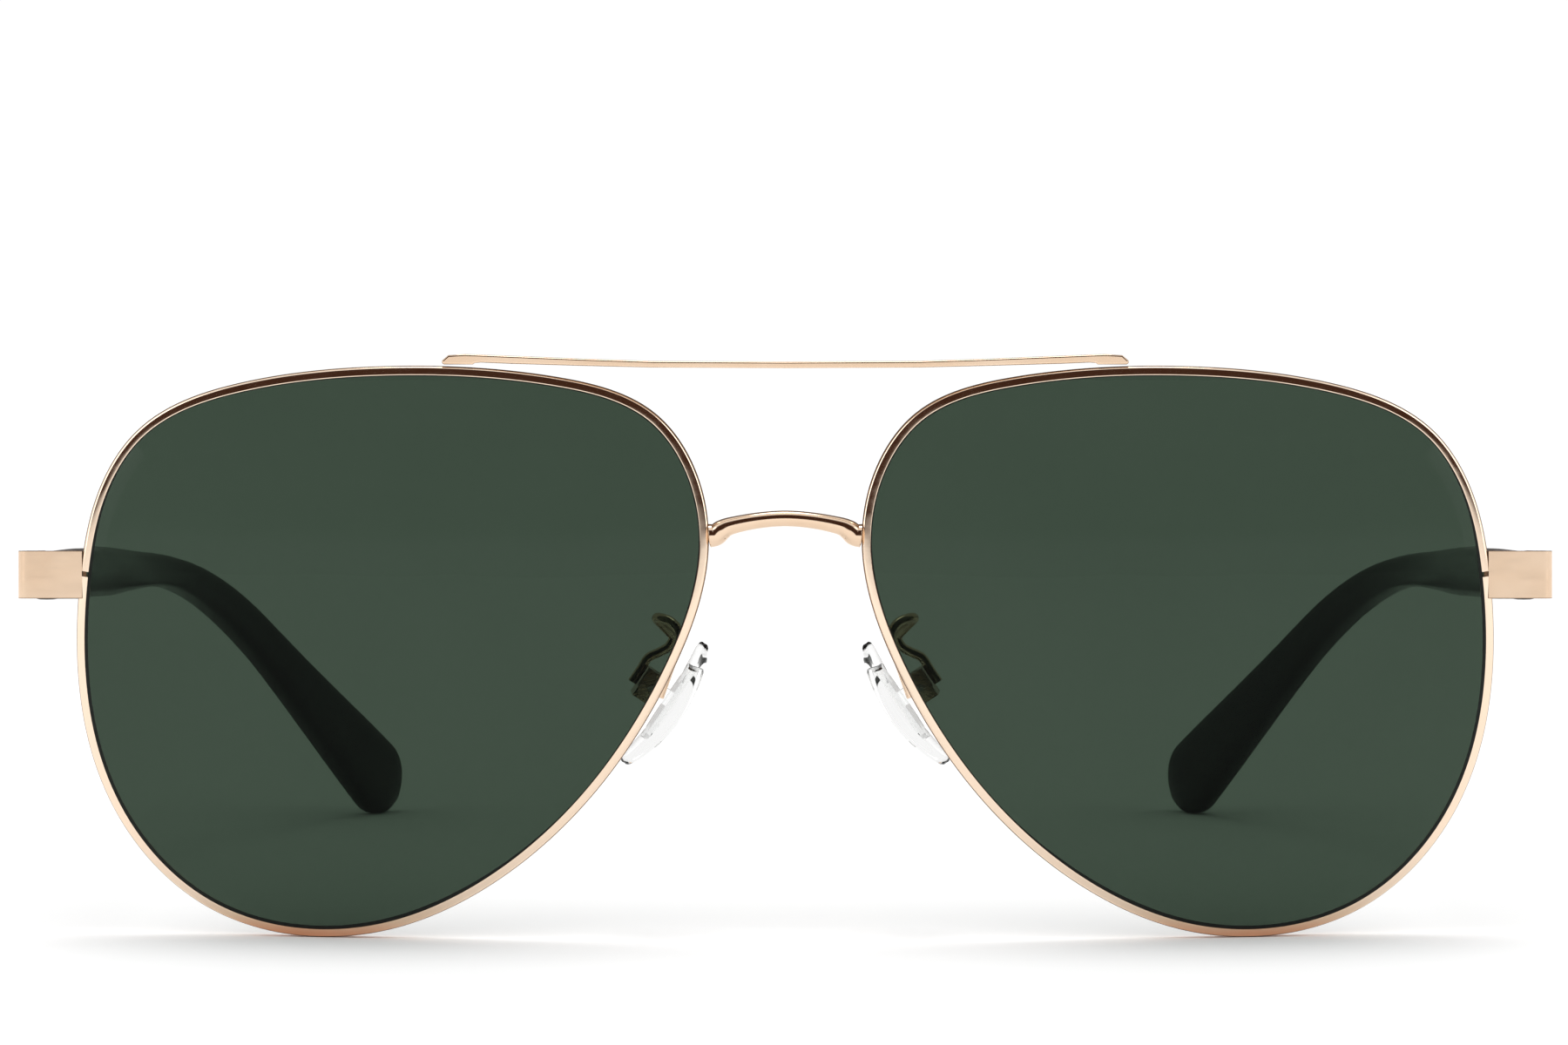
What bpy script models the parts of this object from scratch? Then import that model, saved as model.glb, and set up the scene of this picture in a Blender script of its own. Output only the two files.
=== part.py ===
"""Aviator sunglasses, open and standing on the rims and the temple tips.

Lengths are millimetres in the constants below, and MM turns them into metres.
+X is the wearer's left, +Y runs back to the wearer and +Z is up, with the table at Z = 0.
Every piece of the wearer's left half is modelled, and the right half is its mirror image.
"""

import math

import bmesh
import bpy
import numpy as np
from mathutils import Matrix, Vector

MM = 0.001

# Lens and rim. The outline is seen from the front: x towards the temple, y up.
LENS_OUTLINE = [
    (29.1, 7.3), (27.6, 14.3), (23.8, 20.4), (13.8, 25.0), (-0.1, 26.6), (-15.8, 25.5),
    (-24.6, 22.1), (-28.3, 16.8), (-29.5, 10.6), (-26.1, -1.6), (-17.9, -13.9), (-8.6, -21.8),
    (-0.1, -25.7), (7.3, -26.7), (17.8, -24.1), (26.4, -14.9), (29.5, -2.1),
]
OUTLINE_STEPS = 3
LENS_RADIUS = 88.0
LENS_THICK = 1.8
LENS_APEX_X = 37.40
LENS_APEX_Z = 26.77
LENS_AHEAD = 6.87
WRAP = math.radians(4.0)
LEAN = math.radians(3.9)
RIM_HALF_WIDTH = 0.45
RIM_HALF_DEPTH = 1.0
RIM_SPLIT = 0.25
GROOVE_HALF = 0.55
LENS_INSET = 0.1

# Bridge and brow bar.
RIM_NASAL_FACE = 6.85
BRIDGE_AHEAD = 3.1
BAR_AHEAD = 3.9
BAR_HALF_DEPTH = 0.9
BAR_LIFT = 0.2

# Side frame: its origin is on the lug's front face and its Y slopes down to the rear.
LUG_Y = -60.80
LUG_Z = 34.15
SIDE_SLOPE = math.radians(2.3)
LUG_HALF_HEIGHT = 2.25
LUG_OUTER = 72.5
LUG_INNER = 66.95
LUG_THICK = 1.5
LUG_END = 8.9

# Hinge, in the side frame.
PIVOT = (68.0, 9.15)
KNUCKLE_RADIUS = 1.2
KNUCKLE_BORE = 0.65
HINGE_HALF_HEIGHT = 1.95
TONGUE_HALF = 0.6
SLOT_HALF = 0.7

# Temple.
TEMPLE_START = 9.2
TEMPLE_INNER = 69.5
TEMPLE_THICK = 3.0
TEMPLE_LENGTH = 132.95
TEMPLE_DROP = math.radians(35.6)
TEMPLE_DROP_FROM = 66.0
TEMPLE_DROP_TO = 107.0
TEMPLE_CURL = math.radians(30.6)
TEMPLE_CURL_FROM = 46.0
TEMPLE_CURL_TO = 110.0
TEMPLE_HEIGHTS = [(0, 4.6), (24, 5.1), (46, 5.0), (77, 3.4), (100, 4.7), (TEMPLE_LENGTH, 9.2)]
TIP_ROUNDING = 5.0
CORE_BORE = 0.7
CORE_RADIUS = 0.55

# Nose pads. The pad's frame: X away from the nose, Y along the pad screw, Z along the pad.
PAD_PIVOT = (12.90, LUG_Y + 3.14, 23.63)
PAD_LEAN = math.radians(34.0)
PAD_SPLAY = math.radians(8.0)
# Where each section of the soft pad stands along the pad's X, and its size beside the widest one.
PAD_SECTIONS = [(-4.1, 0.55), (-3.9, 0.82), (-3.4, 0.97), (-2.9, 1.0), (-2.3, 0.95), (-1.95, 0.84)]
# How far the pad's two ends turn away from the nose.
PAD_BOW = 1.0
PAD_HALF_WIDTH = 3.8
PAD_HALF_LENGTH = 6.9

MIRROR = Matrix.Scale(-1, 4, (1, 0, 0))


def clear_scene():
    for obj in list(bpy.data.objects):
        bpy.data.objects.remove(obj, do_unlink=True)


def make_collection(name):
    found = bpy.data.collections.new(name)
    bpy.context.scene.collection.children.link(found)
    return found


def material(name, colour, roughness, metallic=0.0, transmission=0.0):
    made = bpy.data.materials.new(name)
    made.use_nodes = True
    shader = made.node_tree.nodes["Principled BSDF"]
    shader.inputs["Base Color"].default_value = (*colour, 1.0)
    shader.inputs["Roughness"].default_value = roughness
    shader.inputs["Metallic"].default_value = metallic
    shader.inputs["Transmission Weight"].default_value = transmission
    made.diffuse_color = (*colour, 1.0)
    return made


def smooth(mesh):
    mesh.shade_smooth()
    mesh.set_sharp_from_angle(angle=math.radians(35))


def add_object(name, mesh, slot, parent=None):
    obj = bpy.data.objects.new(name, mesh)
    PARTS.objects.link(obj)
    if slot:
        mesh.materials.append(slot)
    obj.parent = parent
    return obj


def empty(name, location, rotation=(0, 0, 0)):
    obj = bpy.data.objects.new(name, None)
    PARTS.objects.link(obj)
    obj.location = Vector(location) * MM
    obj.rotation_euler = rotation
    return obj


def mesh_from(bm, name):
    bmesh.ops.recalc_face_normals(bm, faces=bm.faces)
    mesh = bpy.data.meshes.new(name)
    bm.to_mesh(mesh)
    bm.free()
    mesh.transform(Matrix.Scale(MM, 4))
    smooth(mesh)
    return mesh


def box(name, low, high, slot=None, parent=None):
    """A block between two corners."""
    low, high = Vector(low), Vector(high)
    bm = bmesh.new()
    bmesh.ops.create_cube(bm, size=1.0)
    bmesh.ops.scale(bm, vec=high - low, verts=bm.verts)
    bmesh.ops.translate(bm, vec=(low + high) / 2, verts=bm.verts)
    return add_object(name, mesh_from(bm, name), slot, parent)


def cylinder(name, centre, radius, bottom, top, slot=None, parent=None, sides=24, along_y=False):
    """A round bar along Z, or along Y, between two heights."""
    bm = bmesh.new()
    bmesh.ops.create_cone(
        bm, cap_ends=True, segments=sides, radius1=radius, radius2=radius, depth=top - bottom
    )
    bmesh.ops.translate(bm, vec=(0, 0, (bottom + top) / 2), verts=bm.verts)
    if along_y:
        bmesh.ops.rotate(bm, matrix=Matrix.Rotation(-math.pi / 2, 3, "X"), verts=bm.verts)
    bmesh.ops.translate(bm, vec=(centre[0], centre[1], 0), verts=bm.verts)
    return add_object(name, mesh_from(bm, name), slot, parent)


def plate(name, outline, half_thick, slot=None, parent=None):
    """A flat outline in X and Y, given its thickness along Z."""
    curve = bpy.data.curves.new(name, "CURVE")
    curve.dimensions = "2D"
    curve.fill_mode = "BOTH"
    curve.extrude = half_thick * MM
    spline = curve.splines.new("POLY")
    spline.points.add(len(outline) - 1)
    for point, (x, y) in zip(spline.points, outline):
        point.co = (x * MM, y * MM, 0, 1)
    spline.use_cyclic_u = True
    return curve_to_mesh(name, curve, slot, parent)


def wire(name, points, radius, slot=None, parent=None, sides=2, profile=None):
    """A round wire through the points, or one with another section, whose ends are capped."""
    curve = bpy.data.curves.new(name, "CURVE")
    curve.dimensions = "3D"
    curve.use_fill_caps = True
    if profile:
        curve.bevel_mode = "OBJECT"
        curve.bevel_object = profile
        curve.twist_mode = "Z_UP"
    else:
        curve.bevel_depth = MM
        curve.bevel_resolution = sides
    spline = curve.splines.new("POLY")
    spline.points.add(len(points) - 1)
    for i, (point, place) in enumerate(zip(spline.points, points)):
        point.co = (*(Vector(place) * MM), 1)
        if not profile:
            point.radius = radius[i] if isinstance(radius, list) else radius
    return curve_to_mesh(name, curve, slot, parent)


def curve_to_mesh(name, curve, slot, parent):
    drawn = bpy.data.objects.new(name + "_curve", curve)
    CUTTERS.objects.link(drawn)
    bpy.context.view_layer.update()
    graph = bpy.context.evaluated_depsgraph_get()
    mesh = bpy.data.meshes.new_from_object(drawn.evaluated_get(graph))
    bpy.data.objects.remove(drawn, do_unlink=True)
    bm = bmesh.new()
    bm.from_mesh(mesh)
    bmesh.ops.remove_doubles(bm, verts=bm.verts, dist=0.002 * MM)
    bmesh.ops.recalc_face_normals(bm, faces=bm.faces)
    bm.to_mesh(mesh)
    bm.free()
    mesh.name = name
    mesh.materials.clear()
    smooth(mesh)
    return add_object(name, mesh, slot, parent)


def loft(name, rings, slot=None, parent=None):
    """A closed skin over rings that have the same number of points, with a fan at each end."""
    bm = bmesh.new()
    rows = [[bm.verts.new(point) for point in ring] for ring in rings]
    for row, after in zip(rows, rows[1:]):
        for i in range(len(row)):
            j = (i + 1) % len(row)
            bm.faces.new((row[i], row[j], after[j], after[i]))
    for row in (rows[0], rows[-1]):
        middle = bm.verts.new(sum((v.co for v in row), Vector()) / len(row))
        for i in range(len(row)):
            bm.faces.new((row[i], row[(i + 1) % len(row)], middle))
    return add_object(name, mesh_from(bm, name), slot, parent)


def boolean(obj, other, operation):
    """Cuts the other object from this one, or joins it on, and keeps the other as a guide."""
    modifier = obj.modifiers.new(other.name, "BOOLEAN")
    modifier.operation = operation
    modifier.object = other
    for collection in list(other.users_collection):
        collection.objects.unlink(other)
    CUTTERS.objects.link(other)
    other.hide_render = True
    other.display_type = "WIRE"


def closed_spline(points, steps):
    """A smooth closed curve through the points, with this many steps from each to the next."""
    points = np.array(points, float)
    count = len(points)
    chord = np.linalg.norm(np.roll(points, -1, 0) - points, axis=1)
    weights = np.zeros((count, count))
    slopes = np.zeros((count, 2))
    for i in range(count):
        before, after = chord[i - 1], chord[i]
        nxt = (i + 1) % count
        weights[i, i - 1] += after
        weights[i, i] += 2 * (before + after)
        weights[i, nxt] += before
        slopes[i] = 3 * after / before * (points[i] - points[i - 1])
        slopes[i] += 3 * before / after * (points[nxt] - points[i])
    slopes = np.linalg.solve(weights, slopes)
    found = []
    for i in range(count):
        nxt = (i + 1) % count
        for t in np.arange(steps) / steps:
            start = (1 + 2 * t) * (1 - t) ** 2 * points[i] + t * (1 - t) ** 2 * chord[i] * slopes[i]
            end = t * t * (3 - 2 * t) * points[nxt] - t * t * (1 - t) * chord[i] * slopes[nxt]
            found.append(start + end)
    return np.array(found)


def open_curve(points, steps):
    """A smooth curve through the points (Catmull-Rom), with this many steps between them."""
    points = [Vector(p) for p in points]
    ends = [2 * points[0] - points[1], *points, 2 * points[-1] - points[-2]]
    found = []
    for a, b, c, d in zip(ends, ends[1:], ends[2:], ends[3:]):
        for k in range(steps):
            t = k / steps
            found.append(
                b
                + (c - a) * (t / 2)
                + (2 * a - 5 * b + 4 * c - d) * (t * t / 2)
                + (3 * b - a - 3 * c + d) * (t**3 / 2)
            )
    return [*found, points[-1]]


def inset(outline, amount):
    """The closed outline moved inwards by an amount."""
    along = np.roll(outline, -1, 0) - np.roll(outline, 1, 0)
    along /= np.linalg.norm(along, axis=1)[:, None]
    return outline + amount * np.stack([-along[:, 1], along[:, 0]], axis=1)


def dome(x, y):
    """How far the lens's front surface falls back from its apex."""
    return LENS_RADIUS - math.sqrt(LENS_RADIUS**2 - x * x - y * y)


def oval(half_width, half_height, count, power=2.0):
    """Points round an oval; a power over 2 squares it up."""
    found = []
    for i in range(count):
        c, s = math.cos(math.tau * i / count), math.sin(math.tau * i / count)
        x = math.copysign(abs(c) ** (2 / power), c) * half_width
        found.append((x, math.copysign(abs(s) ** (2 / power), s) * half_height))
    return found


def make_rim(outline, parent):
    """A grooved ring, split behind the lug, where the closing blocks hold its two ends."""
    section = [
        (-RIM_HALF_WIDTH, RIM_HALF_DEPTH),
        (0.15, RIM_HALF_DEPTH),
        (RIM_HALF_WIDTH, RIM_HALF_DEPTH - 0.3),
        (RIM_HALF_WIDTH, 0.3 - RIM_HALF_DEPTH),
        (0.15, -RIM_HALF_DEPTH),
        (-RIM_HALF_WIDTH, -RIM_HALF_DEPTH),
        (-RIM_HALF_WIDTH, -GROOVE_HALF),
        (0.0, 0.0),
        (-RIM_HALF_WIDTH, GROOVE_HALF),
    ]
    flat = bpy.data.curves.new("rim_section", "CURVE")
    flat.dimensions = "2D"
    spline = flat.splines.new("POLY")
    spline.points.add(len(section) - 1)
    for point, (out, depth) in zip(spline.points, section):
        point.co = (out * MM, depth * MM, 0, 1)
    spline.use_cyclic_u = True
    profile = bpy.data.objects.new("rim_section", flat)
    CUTTERS.objects.link(profile)
    profile.hide_render = True
    route = [(x, y, -dome(x, y) - LENS_THICK / 2) for x, y in outline]
    first = Vector(route[0])
    ahead = (Vector(route[1]) - first).normalized() * RIM_SPLIT
    behind = (Vector(route[-1]) - first).normalized() * RIM_SPLIT
    route = [first + ahead, *route[1:], first + behind]
    return wire("left_rim", route, 1.0, ROSE_GOLD, parent, profile=profile)


def make_lens(outline, parent):
    """A curved lens with a V edge, which sits in the rim's groove."""
    apex = inset(outline, LENS_INSET)
    shoulder = inset(outline, RIM_HALF_WIDTH + LENS_INSET)
    rings = []
    for scale in (0.4, 0.75, 1.0):
        rings.append([(x, y, -dome(x, y)) for x, y in shoulder * scale])
    middle = LENS_THICK / 2
    rings.append([(x, y, 0.5 - dome(x, y) - middle) for x, y in shoulder])
    rings.append([(x, y, -dome(x, y) - middle) for x, y in apex])
    rings.append([(x, y, -0.5 - dome(x, y) - middle) for x, y in shoulder])
    for scale in (1.0, 0.75, 0.4):
        rings.append([(x, y, -dome(x, y) - LENS_THICK) for x, y in shoulder * scale])
    return loft("left_lens", rings, GREEN_LENS, parent)


def make_front():
    """The rims, lenses, bridge and brow bar."""
    outline = closed_spline(LENS_OUTLINE, OUTLINE_STEPS)
    frame = empty(
        "left_lens_frame",
        (LENS_APEX_X, LUG_Y - LENS_AHEAD, LENS_APEX_Z),
        (math.pi / 2 + LEAN, 0, WRAP),
    )
    make_rim(outline, frame)
    make_lens(outline, frame)
    half = [
        (-RIM_NASAL_FACE, 0.0, 38.1, 1.08),
        (-6.35, -0.04, 38.18, 1.03),
        (-5.7, -0.15, 38.62, 0.95),
        (-4.9, -0.27, 39.0, 0.83),
        (-2.6, -0.5, 39.45, 0.76),
    ]
    middle = [(0.0, -0.6, 39.64, 0.745)]
    points = half + middle + [(-x, y, z, r) for x, y, z, r in reversed(half)]
    wire(
        "bridge",
        [(x, LUG_Y - BRIDGE_AHEAD + y, z) for x, y, z, r in points],
        [r for x, y, z, r in points],
        ROSE_GOLD,
        sides=4,
    )
    edge = [
        (0.0, 53.67),
        (12.5, 53.73),
        (19.0, 53.89),
        (25.6, 54.08),
        (28.4, 54.2),
        (29.0, 54.15),
        (29.15, 54.02),
        (31.95, 54.02),
        (32.1, 54.33),
        (31.45, 54.88),
        (29.9, 54.98),
        (25.6, 54.81),
        (19.0, 54.55),
        (12.5, 54.33),
        (0.0, 54.27),
    ]
    ring = edge[:-1] + [(-x, z) for x, z in reversed(edge[1:])]
    bar = plate("brow_bar", ring, BAR_HALF_DEPTH, ROSE_GOLD)
    bar.rotation_euler = (math.pi / 2, 0, 0)
    bar.location = (0, (LUG_Y - BAR_AHEAD) * MM, BAR_LIFT * MM)


def make_lug(side):
    """The end piece: a plate beside the rim that turns back to the temple."""
    corner = [
        (LUG_OUTER - 1.2 + 1.2 * math.sin(a), 1.2 - 1.2 * math.cos(a))
        for a in (math.radians(15 * i) for i in range(7))
    ]
    inner = LUG_OUTER - LUG_THICK
    front_thick = LUG_THICK + 0.35
    outline = [(LUG_INNER, 0.25), (LUG_INNER + 0.25, 0.0), *corner, (LUG_OUTER, LUG_END)]
    outline += [(inner, LUG_END), (inner, front_thick), (LUG_INNER, front_thick)]
    plate("left_lug", outline, LUG_HALF_HEIGHT, ROSE_GOLD, side)


def make_closing(side):
    """Two half blocks on the rim's ends and the screw that draws them together."""
    x, y = 67.75, 3.4
    top = 1.65
    for name, low, high in (("upper", 0.1, top), ("lower", -top, -0.1)):
        block = box(
            f"left_closing_block_{name}",
            (66.0, 2.2, low),
            (69.2, 4.8, high),
            ROSE_GOLD,
            side,
        )
        bore = cylinder("closing_bore_" + name, (x, y), 0.6, low - 1, high + 1, None, side)
        boolean(block, bore, "DIFFERENCE")
    head = cylinder("left_closing_screw", (x, y), 0.95, top + 0.05, top + 0.5, STEEL, side)
    shank = cylinder("closing_shank", (x, y), 0.5, -top, top + 0.2, None, side)
    boolean(head, shank, "UNION")
    slot = box(
        "closing_slot", (x - 1.2, y - 0.12, top + 0.3), (x + 1.2, y + 0.12, top + 1), None, side
    )
    boolean(head, slot, "DIFFERENCE")


def make_hinge_front(side):
    """A leaf on the lug's inner wall with two knuckles, and the hinge screw through them."""
    px, py = PIVOT
    arc = [
        (px + KNUCKLE_RADIUS * math.cos(a), py + KNUCKLE_RADIUS * math.sin(a))
        for a in (math.radians(-12 + 15.8 * i) for i in range(16))
    ]
    leaf = LUG_OUTER - LUG_THICK - 0.05
    outline = [(leaf, 5.3), (leaf, LUG_END), *arc, (69.3, 6.6), (69.3, 5.3)]
    front = plate("left_hinge_front", outline, HINGE_HALF_HEIGHT, STEEL, side)
    gap = box("hinge_gap", (66, 5.9, -SLOT_HALF), (px + 1.32, 11, SLOT_HALF), None, side)
    boolean(front, gap, "DIFFERENCE")
    bore = cylinder("hinge_bore", PIVOT, KNUCKLE_BORE, -3, 3, None, side)
    boolean(front, bore, "DIFFERENCE")
    top = HINGE_HALF_HEIGHT
    head = cylinder("left_hinge_screw", PIVOT, 1.0, top + 0.05, top + 0.45, STEEL, side)
    shank = cylinder("hinge_shank", PIVOT, 0.55, -top, top + 0.2, None, side)
    boolean(head, shank, "UNION")
    slot = box(
        "hinge_screw_slot",
        (px - 1.2, py - 0.12, top + 0.28),
        (px + 1.2, py + 0.12, top + 1),
        None,
        side,
    )
    boolean(head, slot, "DIFFERENCE")


def ease(start, end, value):
    """Goes smoothly from 0 to 1 between start and end."""
    t = min(max((value - start) / (end - start), 0.0), 1.0)
    return t * t * (3 - 2 * t)


def height_at(s):
    """The temple's height at a distance along it, eased between the listed places."""
    for (a, low), (b, high) in zip(TEMPLE_HEIGHTS, TEMPLE_HEIGHTS[1:]):
        if s <= b:
            return low + (high - low) * ease(a, b, s) * 0.5 + (high - low) * 0.5 * (s - a) / (b - a)
    return TEMPLE_HEIGHTS[-1][1]


def temple_route(stations):
    """Centre, outward and upward directions of the temple at each distance along it."""
    px, py = PIVOT
    at = Vector((TEMPLE_INNER + TEMPLE_THICK / 2 - px, TEMPLE_START - py, 0))
    found = []
    done, step = 0.0, 0.25
    for s in stations:
        while done < s - 1e-9:
            move = min(step, s - done)
            at = at + temple_heading(done + move / 2) * move
            done += move
        ahead = temple_heading(s)
        out = ahead.cross(Vector((0, 0, 1))).normalized()
        found.append((at.copy(), out, out.cross(ahead)))
    return found


def temple_heading(s):
    drop = TEMPLE_DROP * ease(TEMPLE_DROP_FROM, TEMPLE_DROP_TO, s)
    curl = TEMPLE_CURL * ease(TEMPLE_CURL_FROM, TEMPLE_CURL_TO, s)
    level = math.cos(drop)
    return Vector((-level * math.sin(curl), level * math.cos(curl), -math.sin(drop)))


def make_temple(pivot):
    """The temple, its core wire in a bore, and the hinge leaf let into its inner face."""
    last = TEMPLE_LENGTH
    round_from = last - TIP_ROUNDING
    stations = [0.0, 0.5, 14.0, 30.0, 46.0]
    stations += [46.0 + 4.2 * i for i in range(1, 19)]
    stations += [round_from + TIP_ROUNDING * math.sin(math.radians(a)) for a in (0, 25, 45, 65, 80)]
    rings = []
    for s, (at, out, up) in zip(stations, temple_route(stations)):
        end = max(0.0, (s - round_from) / TIP_ROUNDING)
        shrink = math.sqrt(max(1 - end * end, 0.0))
        tall = height_at(s) / 2 * shrink
        wide = TEMPLE_THICK / 2 * (1 - 0.45 * end**3)
        if s == 0.0:
            tall, wide = tall - 0.25, wide - 0.25
        cut = min(0.7, tall * 0.45)
        ring = []
        corners = [(-1, -1), (1, -1), (1, 1), (-1, 1)]
        for i, (a, b) in enumerate(corners):
            flat = at + out * (a * wide) + up * (b * (tall - cut))
            edge = at + out * (a * (wide - cut * 0.8)) + up * (b * tall)
            ring += [flat, edge] if i % 2 == 0 else [edge, flat]
        rings.append(ring)
    temple = loft("left_temple", rings, BLACK, pivot)
    px, py = PIVOT
    inner = TEMPLE_INNER - px
    low, high = 10.9 - py, 16.9 - py
    tongue = box(
        "left_temple_hinge", (0.7, low, -1.8), (inner - 0.1, high, 1.8), STEEL, pivot
    )
    arm_end = (inner - 0.2, low + 0.8, TONGUE_HALF)
    arm = box("hinge_arm", (-0.5, 0.0, -TONGUE_HALF), arm_end, None, pivot)
    knuckle = cylinder("hinge_tongue", (0, 0), KNUCKLE_RADIUS, -TONGUE_HALF, TONGUE_HALF, None, pivot)
    anchor = box("hinge_anchor", (1.0, low + 0.4, -1.2), (3.3, high - 0.5, 1.2), None, pivot)
    boolean(tongue, arm, "UNION")
    boolean(tongue, knuckle, "UNION")
    boolean(tongue, anchor, "UNION")
    bore = cylinder("tongue_bore", (0, 0), KNUCKLE_BORE, -3, 3, None, pivot)
    boolean(tongue, bore, "DIFFERENCE")
    pocket = box("hinge_pocket", (1.0, low + 0.25, -1.35), (3.45, high - 0.35, 1.35), None, pivot)
    boolean(temple, pocket, "DIFFERENCE")
    core = [7.6, 14.0, 30.0, 46.0] + [46.0 + 4.2 * i for i in range(1, 18)]
    along = [at for at, out, up in temple_route([7.0] + core[1:])]
    wire_bore = wire("core_bore", along, CORE_BORE, None, pivot, sides=2)
    boolean(temple, wire_bore, "DIFFERENCE")
    along = [at for at, out, up in temple_route(core[:-1] + [core[-1] - 0.5])]
    wire("left_temple_core", along, CORE_RADIUS, STEEL, pivot, sides=2)


def pad_axes():
    """The pad frame's directions: away from the nose, back along the screw, up along the pad."""
    up = Vector((-math.sin(PAD_LEAN), 0, math.cos(PAD_LEAN)))
    back = Vector((math.sin(PAD_SPLAY), math.cos(PAD_SPLAY), 0))
    back = (back - up * back.dot(up)).normalized()
    return back.cross(up), back, up


def make_pad():
    """A soft pad on a metal core that rocks on a screw in a box at the end of a wire arm."""
    away, back, up = pad_axes()
    turn = Matrix((away, back, up)).transposed()
    fixed = empty("left_pad_mount", PAD_PIVOT, turn.to_euler())
    pivot = empty("left_pad_pivot", PAD_PIVOT, turn.to_euler())
    rings = []
    for x, scale in PAD_SECTIONS:
        ring = []
        for y, z in oval(PAD_HALF_WIDTH * scale, PAD_HALF_LENGTH * scale, 20):
            bow = PAD_BOW * (z / PAD_HALF_LENGTH) ** 2
            ring.append((x + bow, y, z - 0.6 - 0.03 * z * abs(y)))
        rings.append(ring)
    pad = loft("left_nose_pad", rings, CLEAR_PAD, pivot)
    pocket = loft(
        "pad_pocket",
        [[(x, y, z - 0.3) for y, z in oval(2.0, 4.4, 16, 2.6)] for x in (-3.0, -1.0)],
        None,
        pivot,
    )
    boolean(pad, pocket, "DIFFERENCE")
    core = loft(
        "left_pad_core",
        [[(x, y, z - 0.3) for y, z in oval(1.85, 4.2, 16, 2.6)] for x in (-2.9, -2.1)],
        STEEL,
        pivot,
    )
    tab = box("pad_tab", (-2.6, -0.42, -0.75), (0.3, 0.42, 0.75), None, pivot)
    boolean(core, tab, "UNION")
    eye = cylinder("pad_tab_bore", (0, 0), 0.38, -2, 2, None, pivot, sides=16, along_y=True)
    boolean(core, eye, "DIFFERENCE")
    holder = box("left_pad_box", (-0.9, -1.45, -1.5), (1.1, 1.45, 1.5), STEEL, fixed)
    gap = box("pad_box_gap", (-2, -0.52, -2), (0.6, 0.52, 2), None, fixed)
    boolean(holder, gap, "DIFFERENCE")
    hole = cylinder("pad_box_bore", (0, 0), 0.38, -3, 3, None, fixed, sides=16, along_y=True)
    boolean(holder, hole, "DIFFERENCE")
    screw = cylinder("left_pad_screw", (0, 0), 0.65, 1.5, 1.8, STEEL, fixed, 16, along_y=True)
    shank = cylinder("pad_screw_shank", (0, 0), 0.3, -1.45, 1.6, None, fixed, 16, along_y=True)
    boolean(screw, shank, "UNION")
    at = Vector(PAD_PIVOT)
    along_box = [at + away * 1.62 + up * h for h in (2.2, 0.9, -0.6)]
    arm = [
        (11.85, LUG_Y - 2.1, 22.9),
        (11.25, LUG_Y - 2.1, 24.6),
        (10.35, LUG_Y - 1.9, 27.2),
        (10.0, LUG_Y - 1.4, 28.8),
        (10.7, LUG_Y - 0.7, 29.9),
        (11.9, LUG_Y + 0.2, 30.3),
        (12.2, LUG_Y + 1.2, 30.1),
        (11.5, LUG_Y + 2.2, 29.3),
        (10.7, LUG_Y + 2.8, 28.3),
        (11.1, LUG_Y + 2.9, 27.4),
        (11.9, LUG_Y + 2.9, 26.9),
        *along_box,
    ]
    wire("left_pad_arm", open_curve(arm, 3), 0.45, ROSE_GOLD, sides=2)


def mirror_to_right():
    """Copies every piece of the left half to the right half, as its mirror image."""
    bpy.context.view_layer.update()
    graph = bpy.context.evaluated_depsgraph_get()
    for obj in list(PARTS.objects):
        if obj.type != "MESH" or not obj.name.startswith("left_"):
            continue
        name = obj.name.replace("left_", "right_", 1)
        mesh = bpy.data.meshes.new_from_object(obj.evaluated_get(graph))
        mesh.name = name
        smooth(mesh)
        twin = bpy.data.objects.new(name, mesh)
        PARTS.objects.link(twin)
        twin.matrix_world = MIRROR @ obj.matrix_world


clear_scene()
PARTS = make_collection("aviator_sunglasses")
CUTTERS = make_collection("cutters")
CUTTERS.hide_render = True
ROSE_GOLD = material("rose_gold", (0.78, 0.58, 0.42), 0.3, metallic=1.0)
STEEL = material("steel", (0.55, 0.52, 0.48), 0.35, metallic=1.0)
GREEN_LENS = material("green_lens", (0.05, 0.07, 0.05), 0.05, transmission=0.8)
BLACK = material("black_acetate", (0.012, 0.014, 0.012), 0.25)
CLEAR_PAD = material("clear_silicone", (0.85, 0.85, 0.82), 0.3, transmission=0.8)

make_front()
SIDE = empty("left_side", (0, LUG_Y, LUG_Z), (-SIDE_SLOPE, 0, 0))
make_lug(SIDE)
make_closing(SIDE)
make_hinge_front(SIDE)
bpy.context.view_layer.update()
hinge_at = SIDE.matrix_world @ (Vector((*PIVOT, 0)) * MM)
TEMPLE_PIVOT = empty("left_temple_pivot", hinge_at / MM, (-SIDE_SLOPE, 0, 0))
make_temple(TEMPLE_PIVOT)
make_pad()
mirror_to_right()
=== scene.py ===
"""The looks of the aviator sunglasses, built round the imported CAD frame.

Lengths in the constants are millimetres, and MM turns them into metres. +X is the wearer's left,
+Y runs back to the wearer and +Z is up. Pieces of the left half are made first, and each right
piece is the mirror image of its left one.
"""

import math

import bpy
import numpy as np
from mathutils import Matrix, Vector


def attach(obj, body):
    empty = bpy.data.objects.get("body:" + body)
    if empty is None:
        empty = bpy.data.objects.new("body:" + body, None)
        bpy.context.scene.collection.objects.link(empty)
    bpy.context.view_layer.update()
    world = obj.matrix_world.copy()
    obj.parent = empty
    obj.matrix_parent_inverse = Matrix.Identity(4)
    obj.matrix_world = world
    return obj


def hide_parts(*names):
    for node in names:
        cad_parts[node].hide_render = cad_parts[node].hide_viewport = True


MM = 0.001

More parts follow.
